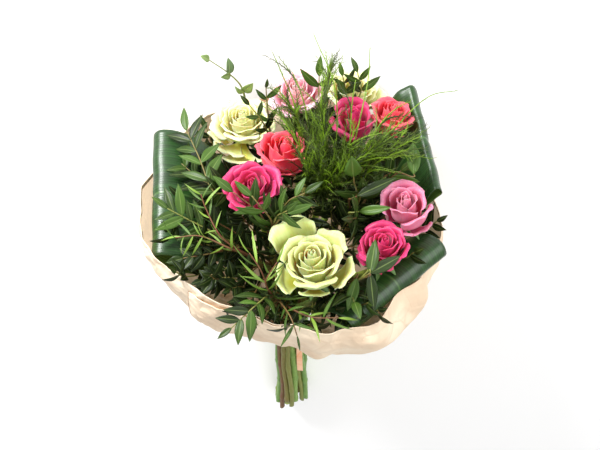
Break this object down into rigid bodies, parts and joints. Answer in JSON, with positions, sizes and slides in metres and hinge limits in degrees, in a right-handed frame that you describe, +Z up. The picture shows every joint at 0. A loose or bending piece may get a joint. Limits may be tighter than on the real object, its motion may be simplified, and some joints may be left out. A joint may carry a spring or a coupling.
{
  "type": "flower bouquet",
  "caption": "Hand-tied bouquet of roses, leafy sprigs, folded broad leaves and feathery fern in a kraft paper wrap, lying on its side.",
  "frame": {"origin": "bottom centre of the lying bouquet's bounding box, on the surface that it lies on", "axes": "+Z up from the surface; the stems point to +Y and the flowers to -Y and up; +X is to the left of someone who faces the bouquet's front with its flowers up"},
  "size_m": [0.3491, 0.5505, 0.3276],
  "materials": {
    "kraft_paper": "matt light brown kraft paper, creased",
    "kraft_strip": "matt peach-brown paper strip",
    "petal_cream": "velvety cream petal, greenish towards the heart",
    "petal_coral": "velvety coral petal",
    "petal_hot_pink": "velvety hot pink petal",
    "petal_pale_pink": "velvety pale pink petal, darker heart",
    "petal_mauve": "velvety mauve pink petal",
    "rose_stem": "satin green stem",
    "aspidistra_leaf": "glossy dark green leaf with fine parallel veins",
    "mastic_leaf": "semi-gloss dark green leaflet",
    "young_leaf": "satin yellow-green leaflet",
    "sprig_leaf": "satin grey-green round leaf",
    "fern_needle": "fine bright green needles"
  },
  "bodies": {
    "root": {"paper_wrap": "kraft_paper", "tie": "kraft_strip", "rose_cream_left": "petal_cream", "rose_pale_pink": "petal_pale_pink", "rose_cream_back": "petal_cream", "rose_coral_centre": "petal_coral", "rose_hot_pink_left": "petal_hot_pink", "rose_hot_pink_top": "petal_hot_pink", "rose_coral_right": "petal_coral", "rose_mauve": "petal_mauve", "rose_hot_pink_right": "petal_hot_pink", "rose_cream_front": "petal_cream", "rose_cream_left_stem": "rose_stem", "rose_pale_pink_stem": "rose_stem", "rose_cream_back_stem": "rose_stem", "rose_coral_centre_stem": "rose_stem", "rose_hot_pink_left_stem": "rose_stem", "rose_hot_pink_top_stem": "rose_stem", "rose_coral_right_stem": "rose_stem", "rose_mauve_stem": "rose_stem", "rose_hot_pink_right_stem": "rose_stem", "rose_cream_front_stem": "rose_stem", "aspidistra_left": "aspidistra_leaf", "aspidistra_right": "aspidistra_leaf", "aspidistra_front": "aspidistra_leaf", "mastic_left": "mastic_leaf", "mastic_low_left": "mastic_leaf", "mastic_young": "young_leaf", "mastic_centre": "mastic_leaf", "mastic_front": "mastic_leaf", "mastic_hidden": "mastic_leaf", "mastic_front_right": "mastic_leaf", "mastic_right": "mastic_leaf", "mastic_top_right": "mastic_leaf", "mastic_top": "mastic_leaf", "mastic_back": "mastic_leaf", "round_leaf_sprig": "sprig_leaf", "fern_middle": "fern_needle", "fern_right": "fern_needle", "fern_low_right": "fern_needle", "fern_left": "fern_needle"}
  },
  "joints": []
}
